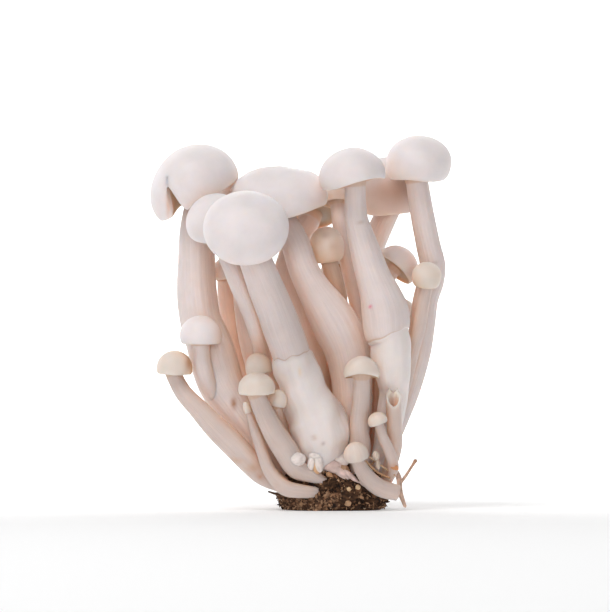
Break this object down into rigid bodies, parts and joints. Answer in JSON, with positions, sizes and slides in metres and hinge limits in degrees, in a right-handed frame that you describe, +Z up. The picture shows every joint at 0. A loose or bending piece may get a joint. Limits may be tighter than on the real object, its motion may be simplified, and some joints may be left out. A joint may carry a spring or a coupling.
{
  "type": "white shimeji mushroom clump",
  "caption": "Clump of white shimeji mushrooms with smooth rounded caps, gills beneath and curved pale stems, growing from one cut block of brown growing medium.",
  "frame": {"origin": "middle of the flat underside of the growing medium", "axes": "+Z up the stems from the growing medium towards the caps; the front of the clump faces -Y, and +X is to its right"},
  "size_m": [0.0755, 0.064, 0.0934],
  "materials": {
    "white_flesh": "smooth, slightly waxy, pale translucent flesh",
    "cream_flesh": "smooth, matt, cream translucent flesh",
    "growing_medium": "crumbly dark brown sawdust and bran",
    "root_thread": "fibrous, tan"
  },
  "bodies": {
    "root": {"back_centre_mushroom": "white_flesh", "back_left_mushroom": "white_flesh", "back_right_mushroom": "white_flesh", "back_short_mushroom": "cream_flesh", "behind_centre_mushroom": "white_flesh", "behind_left_mushroom": "white_flesh", "behind_right_mushroom": "white_flesh", "behind_stem_mushroom": "cream_flesh", "broad_mushroom": "white_flesh", "broken_stub": "white_flesh", "dark_stem_mushroom": "cream_flesh", "fallen_cream_mushroom": "cream_flesh", "flat_cream_mushroom": "cream_flesh", "front_mushroom": "white_flesh", "front_small_mushroom": "cream_flesh", "knee_mushroom": "white_flesh", "left_tall_mushroom": "white_flesh", "low_back_left_mushroom": "cream_flesh", "low_back_right_mushroom": "cream_flesh", "low_tilted_mushroom": "cream_flesh", "lowest_left_mushroom": "cream_flesh", "pin_mushroom": "cream_flesh", "right_small_mushroom": "cream_flesh", "right_tall_mushroom": "white_flesh", "root_thread": "root_thread", "shaded_cap_mushroom": "white_flesh", "shaded_left_mushroom": "white_flesh", "side_leaning_mushroom": "white_flesh", "substrate": "growing_medium", "tan_mushroom": "cream_flesh"}
  },
  "joints": []
}
